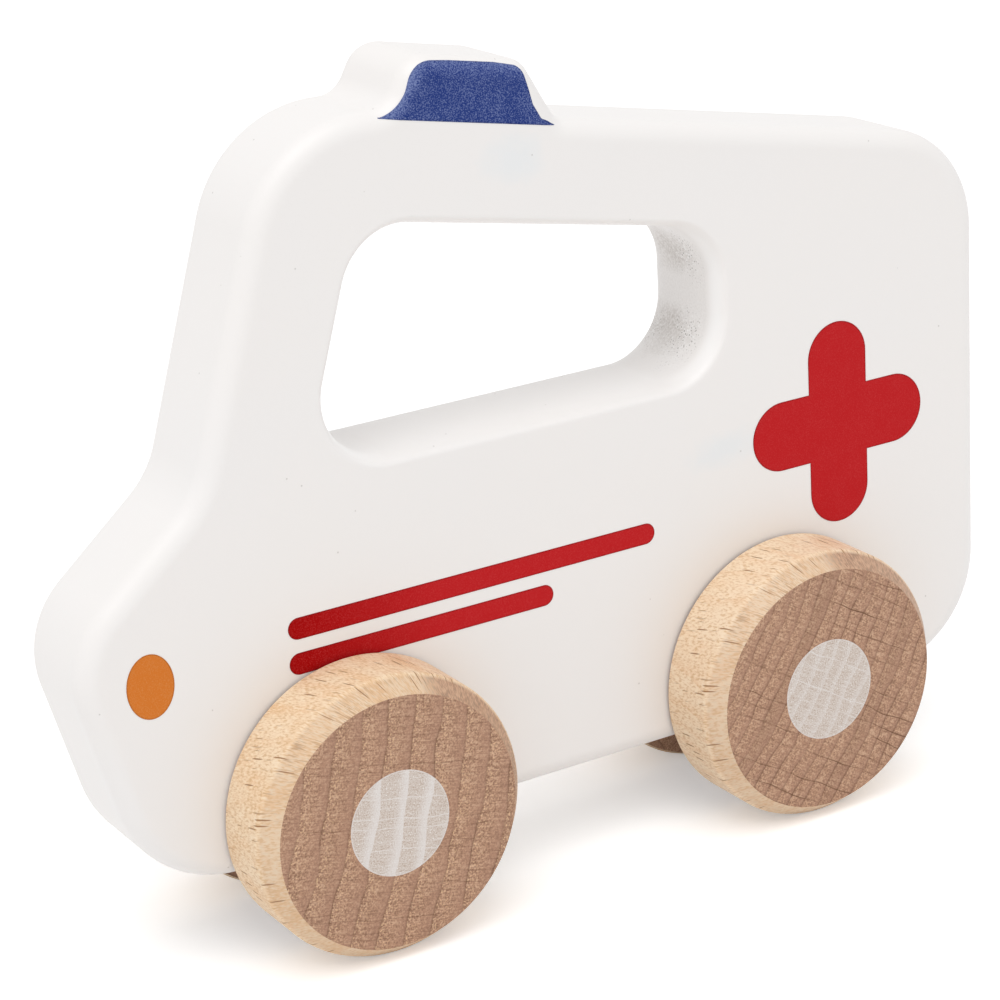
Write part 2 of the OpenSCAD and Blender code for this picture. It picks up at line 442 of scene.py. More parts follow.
def board_surface(edge_radius, window_inward, window_across):
    """The board as one closed grid: sections on spokes round the hub, each a loop round the wood.

    A section goes over the rim, across the left face to the window, through the window and back over the
    right face. The last value says how much painted shade the window's wall gets, by the wall's slant from
    level. It is one on the flat and the right rounding, and below nothing on the left rounding, which gets
    a painted highlight instead.
    """
    rim, rim_out = (part.reshape(-1, 2) for part in rim_loop())
    wall, wall_out = (part.reshape(-1, 2) for part in corner_arcs(window_outline(), ARC_STEPS, HOLD))
    spokes = np.concatenate((rim, wall)) - HUB
    angles = np.unique(np.round(np.arctan2(spokes[:, 1], spokes[:, 0]), SPOKE_DIGITS))
    rim, rim_out = on_spokes(angles, rim, rim_out)
    wall, wall_out = on_spokes(angles, wall, wall_out)
    depth, rim_place = edge_section(edge_radius, edge_radius)
    rim = rim[:, None] - depth[:, None] * rim_out[:, None]
    depth, wall_place = edge_section(window_inward, window_across)
    wall = wall[:, None] - depth[:, None] * wall_out[:, None]
    span = wall[:, -1] - rim[:, -1]
    hold = HOLD / np.linalg.norm(span, axis=1)[:, None]
    share = hold + (1 - 2 * hold) * np.linspace(0, 1, FACE_ROWS)
    face = rim[:, -1, None] + share[..., None] * span[:, None]
    plan = np.concatenate((rim, face, wall[:, ::-1], face[:, ::-1]), axis=1)
    flat = np.full(FACE_ROWS, BOARD_HALF)
    place = np.concatenate((rim_place, flat, wall_place[::-1], -flat))
    soak = np.zeros(plan.shape[:2])
    first = len(rim_place) + FACE_ROWS
    # Painted shade on the window's walls, by their slant, and below nothing a painted highlight on their
    # left rounding
    inside = np.clip((BOARD_HALF - wall_place[::-1]) / window_across, 0, 1)
    paint = inside ** 2 - ROUNDING_HIGHLIGHT * inside * (1 - inside)
    soak[:, first:first + len(depth)] = np.abs(wall_out[:, :1]) * paint
    quads = grid_quads(*plan.shape[:2], True, True)
    return in_space(plan, place).reshape(-1, 3), [quads], {"soak": soak.ravel()}


def lathe(profile, centre, side, steps):
    """A profile of (place along the axle, radius) turned about the axle, closed by a point at each end.

    Each profile point goes round a circle of its radius: the radius times the cosine along X and the sine
    along Z.
    """
    x, y, z = centre
    spokes = heading(np.linspace(0, 360, steps, endpoint=False))
    place, radius = profile[1:-1].T
    rings = in_space((x, z) + radius[:, None] * spokes[:, None], y + side * place).reshape(-1, 3)
    ends = [(x, y + side * profile[k, 0], z) for k in (0, -1)]
    rows = len(place)
    quads = grid_quads(steps, rows, closed_rows=True)
    start = np.arange(steps) * rows
    following = np.roll(start, -1)
    first = fan(len(rings), following, start)
    last = fan(len(rings) + 1, start + rows - 1, following + rows - 1)
    return np.concatenate((rings, ends)), [quads, first, last]


def wheel_section(width, radius, softness, brow):
    """A wheel's section (place along the axle, radius), from the socket's end to the outer face.

    Each point and the direction to the next one make a line, and the corners between the lines are
    rounded.
    """
    points = np.array((
        (SOCKET_DEPTH, 0),
        (SOCKET_DEPTH, SOCKET_R),
        (0, SOCKET_R),
        (0, radius - BACK_BEVEL),
        (BACK_BEVEL, radius),
        (width - BEVEL_W, radius),
        (width, radius - BEVEL_R),
        (width, 0),
    ))
    step = np.roll(points, -1, axis=0) - points
    soft = np.full(len(points), softness)
    soft[BROW_CORNER] = brow
    rows = np.column_stack((points, np.degrees(np.arctan2(step[:, 1], step[:, 0])), soft))
    arcs, _ = corner_arcs(rows, WHEEL_ARC_STEPS, softness / 2)
    return np.concatenate((points[:1], arcs[1:-1].reshape(-1, 2), points[-1:]))


def film(boundary, centre, face, side, thickness):
    """A flat closed film over a boundary that can be seen whole from its centre, and where its edge is.

    Above lie a band along the boundary, whose inner line is moved inwards along the normals, and a fan
    from there to the centre. A wall goes round it and a fan closes it below.
    """
    step = np.roll(boundary, -1, axis=0) - np.roll(boundary, 1, axis=0)
    across = np.stack((step[:, 1], -step[:, 0]), axis=-1)
    inner = boundary - PRINT_EDGE * unit(across)
    count = len(boundary)
    outline = np.vstack((boundary, inner, np.zeros((1, 2)))) + np.array(centre)
    flat = in_space(outline, face)
    lift = np.array((0, side * thickness, 0))
    points = np.concatenate((flat + lift, (flat - lift)[:count], (flat - lift)[-1:]))
    start = np.arange(count)
    following = np.roll(start, -1)
    middle = 2 * count
    below = middle + 1
    band = np.stack((start, following, following + count, start + count), axis=-1)
    top = fan(middle, start + count, following + count)
    bottom = fan(below + count, following + below, start + below)
    wall = np.stack((start, start + below, following + below, following), axis=-1)
    edge = np.zeros(len(points))
    edge[:count] = 1
    edge[below:] = 1
    return points, [band, wall, top, bottom], {"edge": edge}


def oval_boundary(width, height):
    """An ellipse: half the width times the cosine, and half the height times the sine."""
    turn = np.linspace(0, 360, 4 * PRINT_STEPS, endpoint=False)
    return heading(turn) * np.array((width, height)) / 2


def stripe_boundary(half_length, half_width):
    """A bar with round ends: a half circle about each end's centre."""
    turn = np.linspace(-90, 90, PRINT_STEPS)
    ends = np.array((0, 180))
    arcs = half_length * heading(ends)[:, None] + half_width * heading(ends[:, None] + turn)
    return arcs.reshape(-1, 2)


def cross_boundary(arm, half_width):
    """A cross with four round arms: a half circle at each arm's end, then the corner to the next arm."""
    turn = np.linspace(-90, 90, PRINT_STEPS)
    arms = np.arange(4) * 90
    rounds = arm * heading(arms)[:, None] + half_width * heading(arms[:, None] + turn)
    corners = half_width * math.sqrt(2) * heading(arms + 45)[:, None]
    return np.concatenate((rounds, corners), axis=1).reshape(-1, 2)


def beacon_print(edge_radius, side, thickness):
    """The blue film on the beacon's side: a grid from the rounded edge down to a straight base line.

    The stations lie evenly along the outline. Each column starts on the rounding at the lip's angle, read
    off its list by the station's share of the way, and follows the quarter circle. At the beacon's feet
    it ends where the depth along the normal reaches the base line. Elsewhere it goes on straight over the
    face to its share of the base line, by length along the outline. The film is carried off the wood
    along the normal on both sides, and its narrow ends are closed. The values say where the film is thin,
    most at the lip, with a painted sheen on the rounding that grows towards the front, and where its edges
    are.
    """
    arcs, normals = rim_loop()
    corners = np.concatenate((arcs[BEACON_CORNERS], normals[BEACON_CORNERS]), axis=-1).reshape(-1, 4)
    travel = np.append(0, np.cumsum(np.linalg.norm(np.diff(corners[:, :2], axis=0), axis=1)))
    stations = np.arange(0, travel[-1], BEACON_STEP)
    drawn = np.stack([np.interp(stations, travel, column) for column in corners.T], axis=-1)
    outline = drawn[:, :2]
    out = unit(drawn[:, 2:])
    base_start = np.array((0, BEACON_BASE_Z))
    base_along = heading(ROOF_SLOPE)
    base_up = heading(ROOF_SLOPE + 90)
    base_depth = (outline - base_start) @ base_up / (out @ base_up)
    tip_depth = edge_radius * (1 - math.cos(math.radians(LIP_TURNS[0])))
    inked = (base_depth > tip_depth) & (np.abs(outline[:, 0] - BEACON_MIDDLE) < BEACON_REACH)
    outline, out, base_depth, stations = outline[inked], out[inked], base_depth[inked], stations[inked]
    last_turn = np.arccos(1 - np.minimum(base_depth / edge_radius, 1))
    way_along = (stations - stations[0]) / (stations[-1] - stations[0])
    lip = np.radians(np.interp(way_along, LIP_SHARES, LIP_TURNS))
    lip = np.minimum(lip, last_turn - BEACON_SLIVER / edge_radius)
    foot = base_depth < edge_radius
    cut = outline - base_depth[:, None] * out
    share = np.interp(stations, stations[foot], ((cut - base_start) @ base_along)[foot])
    base = np.where(foot[:, None], cut, base_start + share[:, None] * base_along)
    face_edge = outline - edge_radius * out
    over = edge_radius * (last_turn - lip)
    down = np.where(foot, 0, np.linalg.norm(base - face_edge, axis=1))
    way = np.linspace(0, 1, PRINT_ROWS) * (over + down)[:, None]
    turn = lip[:, None] + np.minimum(way, over[:, None]) / edge_radius
    slide = np.maximum(way - over[:, None], 0) / np.maximum(down, thickness)[:, None]
    depth = edge_radius * (1 - np.cos(turn))
    plan = outline[:, None] - depth[..., None] * out[:, None]
    plan = plan + slide[..., None] * (base - face_edge)[:, None]
    place = side * (BOARD_HALF - edge_radius + edge_radius * np.sin(turn))
    surface = in_space(plan, place)
    tilt = np.cos(turn)
    normal = np.stack((out[:, :1] * tilt, side * np.sin(turn), out[:, 1:] * tilt), axis=-1)
    sheet = np.concatenate((surface + thickness * normal, (surface - thickness * normal)[:, ::-1]), axis=1)
    columns = sheet.shape[1]
    quads = grid_quads(len(sheet), columns, closed_columns=True)
    caps = np.stack((np.arange(columns)[::-1], np.arange(columns) + (len(sheet) - 1) * columns))
    to_edge = np.minimum((over + down)[:, None] - way, way)
    edge = np.clip(1 - to_edge / PRINT_EDGE, 0, 1)
    # The film grows thinner towards the lip, and a painted sheen is added where the rounding faces the front
    thin = np.clip((math.pi / 2 - turn) / (math.pi / 2 - lip[:, None]), 0, 1)
    thin = thin * (LIP_THINS + LIP_SHEEN_FRONT * out[:, :1])
    values = {
        label: np.concatenate((value, value[:, ::-1]), axis=1).ravel()
        for label, value in (("thin", thin), ("edge", edge))
    }
    return sheet.reshape(-1, 3), [quads, caps], values


def volume(points, faces):
    """Volume inside a closed mesh: the sum of the pyramids from each face's fan of corners to the origin."""
    total = 0.0
    for group in faces:
        corner = points[group]
        fans = np.cross(corner[:, 1:-1], corner[:, 2:])
        total += np.sum(corner[:, :1] * fans) / 6
    return total


def add_mesh(name, points, faces, attributes=()):
    """A smooth mesh object with faces turned outwards, sharp edges kept and values on its points."""
    if volume(points, faces) < 0:
        faces = [group[:, ::-1] for group in faces]
    mesh = bpy.data.meshes.new(name)
    mesh.from_pydata(points.tolist(), [], [face for group in faces for face in group.tolist()])
    mesh.shade_smooth()
    mesh.set_sharp_from_angle(angle=SHARP_EDGE)
    for label, values in dict(attributes).items():
        carried = mesh.attributes.new(label, "FLOAT", "POINT").data
        carried.foreach_set("value", np.asarray(values, np.float32))
    piece = bpy.data.objects.new(name, mesh)
    bpy.context.scene.collection.objects.link(piece)
    return piece


def finish_piece(piece, body, materials, replaced=()):
    """Gives a piece its materials, the body that it rides on and the solids that it stands for."""
    for material in materials:
        piece.data.materials.append(material)
    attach(piece, body)
    if replaced:
        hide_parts(*replaced)


def bore(piece, radius):
    """Cuts the axle holes through the board with round cutters, which are removed afterwards."""
    for name in AXLES:
        low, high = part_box(name)
        middle = (low + high) / 2
        reach = 2 * BOARD_HALF
        profile = np.array(((-reach, 0), (-reach, radius), (reach, radius), (reach, 0)))
        cutter = add_mesh("bore_cutter", *lathe(profile, (middle.x, 0, middle.z), 1, BORE_STEPS))
        cut = piece.modifiers.new("bore", "BOOLEAN")
        cut.object = cutter
        cut.operation = "DIFFERENCE"
        cut.solver = "EXACT"
        with bpy.context.temp_override(object=piece, active_object=piece, selected_objects=[piece]):
            bpy.ops.object.modifier_apply(modifier=cut.name)
        bpy.data.objects.remove(cutter)
    piece.data.set_sharp_from_angle(angle=SHARP_EDGE)


def add_node(kind, inputs=(), tree=None, out=None, stops=(), **settings):
    """Adds a shader node with its settings, links or sets its inputs, and returns an output socket.

    Where no tree is given, the node goes into the one that its inputs come from.
    """
    inputs = dict(inputs)
    sockets = [value for value in inputs.values() if isinstance(value, bpy.types.NodeSocket)]
    tree = tree or sockets[0].id_data
    made = tree.nodes.new("ShaderNode" + kind)
    for name, value in settings.items():
        setattr(made, name, value)
    for name, value in inputs.items():
        if isinstance(name, int):
            socket = made.inputs[name]
        else:
            socket = next(each for each in made.inputs if each.enabled and each.name == name)
        if isinstance(value, bpy.types.NodeSocket):
            tree.links.new(value, socket)
        else:
            socket.default_value = value
    for k, (place, level) in enumerate(stops):
        ramp = made.color_ramp.elements
        stop = ramp[k] if k < len(ramp) else ramp.new(place)
        stop.position = place
        stop.color = level
    if out:
        return made.outputs[out]
    return next((each for each in made.outputs if each.enabled), made)


def as_colour(value):
    """A shader's colour from an sRGB hex code, a grey level or a setting; a socket stays as it is."""
    if isinstance(value, str):
        return linear(value)
    if isinstance(value, (int, float)):
        return (value, value, value, 1)
    return value if isinstance(value, bpy.types.NodeSocket) else tuple(value)


def calc(operation, *values):
    """Arithmetic on numbers."""
    return add_node("Math", dict(enumerate(values)), operation=operation)


def vector(operation, *values, out=None):
    """Arithmetic on vectors."""
    return add_node("VectorMath", dict(enumerate(values)), out=out, operation=operation)


def product(value, *masks):
    """A value times each mask in turn."""
    for mask in masks:
        value = calc("MULTIPLY", value, mask)
    return value


def highest(value, *others):
    """The highest of some values."""
    for other in others:
        value = calc("MAXIMUM", value, other)
    return value


def weighted(value, weight, base):
    """A value times its weight, added to a base."""
    return calc("MULTIPLY_ADD", value, weight, base)


def between(value, start, end, low=0, high=1, smooth=False):
    """A value carried from one range to another and held at the ends, evenly or with soft ends."""
    ranges = {"Value": value, "From Min": start, "From Max": end, "To Min": low, "To Max": high}
    return add_node("MapRange", ranges, interpolation_type="SMOOTHSTEP" if smooth else "LINEAR")


def layers(tone, *coats):
    """A tone with coats of (amount, colour) laid over it one by one."""
    for amount, coat in coats:
        colours = {"Factor": amount, "A": as_colour(tone), "B": as_colour(coat)}
        tone = add_node("Mix", colours, data_type="RGBA")
    return tone


def graded(value, *stops):
    """A colour read off a value by stops of (value, colour)."""
    return add_node("ValToRGB", {"Fac": value}, stops=[(at, as_colour(tint)) for at, tint in stops])


def pattern(kind, where, size, inputs=()):
    """A pattern with features of one size in millimetres, or of three sizes along X, Y and Z."""
    scale = 1.0
    if isinstance(size, tuple):
        scales = tuple(per(each * MM) for each in size)
        where = add_node("Mapping", {"Vector": where, "Scale": scales})
    else:
        scale = per(size * MM)
    return add_node(kind, {"Vector": where, "Scale": scale, **dict(inputs)})


def noise(where, size, detail=1.0, roughness=0.5, distortion=0.0):
    """Cloudy noise of a size in millimetres."""
    inputs = {"Detail": detail, "Roughness": roughness, "Distortion": distortion}
    return pattern("TexNoise", where, size, inputs)


def cells(where, size):
    """Distance to the middle of the nearest cell, and the cell's own random number."""
    distance = pattern("TexVoronoi", where, size)
    return distance, distance.node.outputs["Color"]


def on_points(tree, label):
    """A value that the mesh carries on its points."""
    return add_node("Attribute", tree=tree, out="Fac", attribute_name=label)


def along_axis(place, axis):
    """One coordinate of a place."""
    return add_node("SeparateXYZ", {"Vector": place}, out=axis)


def across_axle(place):
    """The part of a place across the axle."""
    return vector("MULTIPLY", place, (1, 0, 1))


def size_of(place):
    """Distance of a place from the origin."""
    return vector("LENGTH", place, out="Value")


def new_material(name):
    """An empty node material and its tree."""
    material = bpy.data.materials.new(name)
    material.use_nodes = True
    material.node_tree.nodes.clear()
    return material, material.node_tree


def on_object(tree):
    """Place on the object, in metres."""
    return add_node("TexCoord", tree=tree, out="Object")


def shade(material, tone, height, strength, depth, roughness, specular=0.5):
    """A material whose tree is ended in a principled shader with relief of a depth in millimetres."""
    relief = add_node("Bump", {"Height": height, "Strength": strength, "Distance": depth * MM})
    looks = {"Base Color": tone, "Roughness": roughness, "Specular IOR Level": specular, "Normal": relief}
    add_node("OutputMaterial", {"Surface": add_node("BsdfPrincipled", looks)})
    return material


def ovals(where, ragged, group):
    """How much a place lies in one of a group of ovals: one inside, falling to nothing at ragged edges."""
    most = 0.0
    for middle, halves in group:
        place, size = (tuple(np.array(each) * MM) for each in (middle, halves))
        spot = {"Vector": where, "Location": place, "Scale": size}
        reach = size_of(add_node("Mapping", spot, vector_type="TEXTURE"))
        reach = weighted(ragged, OVAL_RAGGED, reach)
        most = highest(most, between(reach, *OVAL_FADE, 1, 0))
    return most


def satin_lacquer(board):
    """Satin white lacquer, sprayed on sanded wood.

    The eye sees a nearly even warm white with a faint peel, a few pin holes and two wiped smudges. On the
    flat walls of the window it sees clusters of open pores, each ringed by a painted highlight, under a
    dusty grey that is painted shade of the recess, darkest in two patches. On the left rounding of the
    window's end walls the white is painted lighter, a painted highlight.
    """
    material, tree = new_material("satin white lacquer, sprayed")
    where = on_object(tree)
    cloud = noise(where, 30, 3.0)
    ragged = noise(where, 2.5, 3.0)
    smudge = product(ovals(where, ragged, SMUDGES), 0.8)
    pin, _ = cells(where, 4.5)
    hole = between(pin, 0.02, 0.04, 0.4, 0)
    soak = on_points(tree, "soak")
    # Painted highlight: where the mesh value is below nothing, on the window's left rounding, the white is
    # painted lighter
    rounding_highlight = between(soak, 0, -1)
    # Painted shade on the window's walls, where the mesh value is above nothing: grey, darkest in patches
    end_grain = highest(soak, 0.0)
    dust = between(noise(where, 0.35), 0.3, 0.7, 0.5, 1.5)
    wall_shade = highest(product(ovals(where, ragged, WALL_SHADE_PATCHES), 0.75), 0.18)
    wall_shade = product(wall_shade, dust, end_grain)
    distance, drawn = cells(where, 0.5)
    cluster = highest(ovals(where, ragged, PORES), 0.05)
    chosen = product(between(drawn, 0.35, 0.6), cluster, end_grain)
    # Painted highlight: a pale ring round each open pore
    lip = product(graded(distance, (0.34, 0), (0.45, 1), (0.6, 0)), chosen)
    pore = product(between(distance, 0.16, 0.38, 1, 0), chosen)
    tone = layers(
        board.paint, (cloud, board.paint_cool), (smudge, "EAECED"), (hole, "9C948E"), (rounding_highlight, "FCFBFA"),
        (wall_shade, "C9C3BE"), (lip, "FBFAF9"), (pore, "968D87"),
    )
    peel = noise(where, 0.9, 2.0)
    height = weighted(pore, -3.0, peel)
    return shade(material, tone, height, 0.25, 0.03, roughness=0.42)


def printed_ink(name, ink, deep, dark, pale, speckle, lip_thin_and_sheen=False):
    """Pad-printed ink, matt and thin.

    The eye sees an even colour with fine lighter specks where the film is thinnest, a dark ridge along
    the edge, and a deeper colour towards the front. On the beacon the film grows thinner towards its lip,
    where its lighter specks are partly a painted sheen, strongest towards the front.
    """
    material, tree = new_material(name)
    where = on_object(tree)
    deeper = between(along_axis(where, "X"), *INK_DEEPENS)
    mottle = noise(where, 3, 2.0)
    grit = weighted(mottle, 0.2, noise(where, 0.18, roughness=0.6))
    # On the beacon, lighter specks at the lip: partly thinner ink, partly a painted sheen strongest towards
    # the front
    if lip_thin_and_sheen:
        grit = weighted(on_points(tree, "thin"), 0.25, grit)
    ridge = product(on_points(tree, "edge"), 0.6)
    speck = between(grit, 0.56, 0.86, 0, speckle)
    tone = layers(ink, (deeper, deep), (ridge, dark), (speck, pale))
    return shade(material, tone, grit, 0.2, 0.03, roughness=0.6, specular=0.04)


def in_wood(tree, centre, wood):
    """Place from the piece's middle, and the same with the lean of the fibres along the axle taken out."""
    local = add_node("Mapping", {"Vector": on_object(tree), "Location": centre}, vector_type="TEXTURE")
    lean_x, lean_z = wood["lean"]
    lean = {0: (-lean_x, 0, -lean_z), "Scale": along_axis(local, "Y")}
    drift = add_node("VectorMath", lean, operation="SCALE")
    return local, vector("ADD", local, drift)


def year_rings(straight, wood):
    """Phase within a year ring, counted outwards from its dark line, and the year's own random number.

    The phase is the distance from the tree's heart, bent by a slow noise, over the ring spacing, less its
    whole part.
    """
    heart_x, heart_z = (place * MM for place in wood["heart"])
    from_heart = vector("SUBTRACT", straight, (heart_x, 0, heart_z))
    reach = size_of(across_axle(from_heart))
    bent = weighted(noise(straight, 7), 1.8 * MM, reach)
    years = calc("DIVIDE", bent, wood["ring"] * MM)
    year = calc("FLOOR", years)
    drawn = add_node("TexWhiteNoise", {"W": year}, out="Value", noise_dimensions="1D")
    return calc("FRACT", years), drawn


def wood_rays(straight, wood):
    """Rays, which run from the tree's heart outwards, and a finer hair in the same direction.

    A ray lies on the borders of cells strung out across the rays' direction, and a noise along it breaks
    it up. The hair is a noise drawn out along the rays.
    """
    heart_x, heart_z = wood["heart"]
    turn = {"Vector": straight, "Rotation": (0, -math.atan2(heart_z, heart_x), 0)}
    turned = add_node("Mapping", turn, vector_type="TEXTURE")
    swayed = weighted(noise(straight, 6), 1.2 * MM, along_axis(turned, "Z"))
    spacing = wood["ray_gap"] * MM
    strung = {"W": swayed, "Scale": per(spacing)}
    border = add_node("TexVoronoi", strung, voronoi_dimensions="1D", feature="DISTANCE_TO_EDGE")
    ray = between(border, RAY_CORE / spacing, RAY_END / spacing, 1, 0, smooth=True)
    kept = between(noise(turned, (14, 20, 1.6)), 0.4, 0.6)
    hair = noise(turned, (3, 3, 0.22))
    return product(ray, kept), hair


def beech_end_grain(name, wheels, wood, centre):
    """Beech end grain, sawn across and lightly sanded.

    The eye sees a matt pinkish brown, darker than the rim because the open fibres swallow light, with
    fine grit and hair along the rays. Each year ring starts with a thin dark line, light golden flecks
    and small dark pores, and fades to a smoother, redder brown. Some years are darker than others, and
    dark rays cross the rings.
    """
    material, tree = new_material(name)
    _, straight = in_wood(tree, centre, wood)
    phase, drawn = year_rings(straight, wood)
    ray, hair = wood_rays(straight, wood)
    grit = weighted(hair, 0.5, noise(straight, 0.25, roughness=0.6))
    dark_year = between(drawn, 0.55, 1, 0, 0.4)
    late = between(phase, 0.45, 0.9, 0, 0.5)
    early = between(phase, 0.02, 0.55, wood["fleck"], 0.06)
    dots = noise(straight, 0.28, 0.0)
    golden = product(between(dots, 0.6, 0.7, 0, 0.85), early)
    pore = product(between(dots, 0.3, 0.38, 0.6, 0), early)
    width = LINE_RING / wood["ring"]
    after = ((0, 1), (0.05 * width, 0.3), (0.1 * width, 0))
    before = ((1 - 0.14 * width, 0), (1 - 0.03 * width, 0.5), (1, 1))
    fade = between(noise(straight, 7, 2.0), 0.35, 0.62, 0.3, 0.8)
    ringed = product(graded(phase, *after, *before), wood["line"], fade)
    rayed = product(ray, wood["ray"], fade)
    tone = graded(grit, (0.55, wheels.end_dark), (0.75, wheels.end_grain), (0.95, wheels.end_light))
    tone = layers(
        tone, (dark_year, "93705B"), (late, "AC846F"), (golden, "E6C29B"), (pore, "7C5845"),
        (ringed, "6B4A38"), (rayed, "65452F"),
    )
    height = weighted(rayed, -1.0, grit)
    return shade(material, tone, height, 0.35, 0.05, roughness=0.7, specular=0.25)


def hub_wash(name, wheels, wood, centre):
    """Thin white paint wiped on the end grain.

    The eye sees a pale beige disc with fine tan and white grit. The dense end of each year ring and the
    rays, which hold the paint on the surface, stand out white, and so does the ridge of paint round the
    disc's edge.
    """
    material, tree = new_material(name)
    _, straight = in_wood(tree, centre, wood)
    phase, _ = year_rings(straight, wood)
    ray, hair = wood_rays(straight, wood)
    grit = weighted(hair, 0.3, noise(straight, 0.2, distortion=0.3))
    tone = graded(grit, (0.44, "B8A190"), (0.62, wheels.wash), (0.76, "D8CEC6"), (0.9, "EFEBE8"))
    late = between(phase, 0.45, 0.95, 0, wood["band"], smooth=True)
    rayed = product(ray, 0.6)
    ridge = product(on_points(tree, "edge"), 0.7)
    tone = layers(tone, (highest(late, rayed, ridge), "EAE6E4"))
    return shade(material, tone, grit, 0.3, 0.04, roughness=0.65, specular=0.3)


def beech_long_grain(name, wheels, wood, centre, radius):
    """Beech along the grain, turned and sanded.

    The eye sees a light warm wood with fine grit, soft warm patches, warmer arches where the year rings
    graze the rim, and the short dark dashes of beech along the fibres. On the bevel, which cuts the
    fibres at a slant, it sees clusters of fine torn lines, most of them near the top. The bevel is also
    painted brown towards one side, a painted shade for the side on which the slanting fibres catch no light.
    """
    material, tree = new_material(name)
    local, straight = in_wood(tree, centre, wood)
    phase, _ = year_rings(straight, wood)
    spoke = vector("NORMALIZE", across_axle(straight))
    along = vector("MULTIPLY", local, (0, 1, 0))
    rim = vector("MULTIPLY_ADD", spoke, (radius, radius, radius), along)
    patch = noise(rim, (3, 7, 3), 2.0)
    arch = between(phase, 0.55, 0.97, 0, wood["arch"], smooth=True)
    fibre = noise(rim, (0.26, 0.7, 0.26), roughness=0.6)
    streak = between(fibre, 0.5, 0.66, 0, 0.7)
    shine = between(fibre, 0.32, 0.46, 0.7, 0)
    distance, drawn = cells(rim, (0.5, 5.5, 0.5))
    dash = product(between(distance, 0.17, 0.25, 0.9, 0), between(drawn, 0.35, 0.6))
    level = across_axle(local)
    bevel = between(size_of(level), radius - BEVEL_WHOLE, radius - BEVEL_STARTS, 1, 0)
    outwards = vector("NORMALIZE", level)
    top = between(along_axis(outwards, "Z"), 0.2, 0.8, 0.25)
    torn = between(noise(rim, (0.16, 1.6, 0.16)), 0.52, 0.64, 0, 0.55)
    cluster = between(noise(rim, 5), 0.42, 0.6, 0.25)
    tear = product(torn, cluster, top, bevel)
    # Painted shade: the bevel turns brown towards one side, where the slanting fibres catch no light
    brown_x, brown_z = wood["brown"]
    side = vector("DOT_PRODUCT", outwards, (brown_x, 0, brown_z), out="Value")
    brown = between(side, 0.12, 0.42, 0, 0.85, smooth=True)
    brown = product(highest(brown, 0.2), bevel)
    cut = graded(fibre, (0.35, wheels.end_dark), (0.5, wheels.end_grain), (0.68, wheels.end_light))
    tone = graded(patch, (0.42, wheels.long_grain), (0.7, wheels.long_warm))
    tone = layers(
        tone, (arch, "DEAC78"), (wood["pale"], "F6E2C9"), (streak, "D3AC80"), (shine, "F4DFC4"),
        (dash, wheels.long_dark), (tear, "9A7148"), (brown, cut),
    )
    height = weighted(highest(dash, tear), -1.0, fibre)
    return shade(material, tone, height, 0.3, 0.05, roughness=0.55, specular=0.3)


def camera_sees(tree):
    """One on rays from the camera, straight, by gloss or through glass, and zero on all other rays."""
    straight = add_node("LightPath", tree=tree, out="Is Camera Ray")
    path = straight.node.outputs
    return highest(straight, path["Is Glossy Ray"], path["Is Transmission Ray"])


def studio_floor(stage):
    """Matt pale paper: lit as any surface, and for the camera lifted to white where no shadow falls."""
    material, tree = new_material("matt studio paper")
    paper = add_node("BsdfDiffuse", {"Color": tuple(stage.floor)}, tree=tree)
    lift = product(camera_sees(tree), stage.floor_lift)
    glow = add_node("Emission", {"Color": as_colour(1), "Strength": lift})
    add_node("OutputMaterial", {"Surface": add_node("AddShader", {0: paper, 1: glow})})
    return material


class AMBULANCE_OT_board(bpy.types.Operator):
    """Make the rounded, painted board"""

    bl_idname = "toy_ambulance.board"
    bl_label = "Painted Board"

    def execute(self, context):
        board = context.scene.toy_ambulance.board
        surface = board_surface(board.edge_radius, board.window_inward, board.window_across)
        piece = add_mesh("painted_board", *surface)
        bore(piece, BORE_R)
        finish_piece(piece, "board", [satin_lacquer(board)], ["body"])
        return {"FINISHED"}


class AMBULANCE_OT_prints(bpy.types.Operator):
    """Print the lamp, the stripes, the cross and the beacon on both sides"""

    bl_idname = "toy_ambulance.prints"
    bl_label = "Printed Marks"

    def execute(self, context):
        prints = context.scene.toy_ambulance.prints
        board = context.scene.toy_ambulance.board
        inks = {}
        for name, codes in INKS.items():
            ink = getattr(prints, name)
            inks[name] = printed_ink(f"{name} pad-printing ink", ink, *codes, lip_thin_and_sheen=name == "blue")
        for label, side in SIDES.items():
            lamp = oval_boundary(prints.lamp_width, prints.lamp_height)
            sign = cross_boundary(prints.cross_arm, prints.cross_half)
            flats = {
                "lamp": (lamp, (prints.lamp_x, prints.lamp_z), inks["orange"]),
                "cross": (sign, (-prints.cross_back, prints.cross_z), inks["red"]),
            }
            for row, (front, back, height) in STRIPES.items():
                boundary = stripe_boundary((front - back) / 2 * MM, prints.stripe_half)
                centre = ((front + back) / 2 * MM, height * MM)
                flats[row + "_stripe"] = (boundary, centre, inks["red"])
            for mark, (boundary, centre, ink) in flats.items():
                sheet = film(boundary, centre, side * BOARD_HALF, side, prints.film)
                piece = add_mesh(f"{mark}_{label}", *sheet)
                finish_piece(piece, "board", [ink])
            piece = add_mesh(f"beacon_{label}", *beacon_print(board.edge_radius, side, prints.film))
            finish_piece(piece, "board", [inks["blue"]])
        return {"FINISHED"}


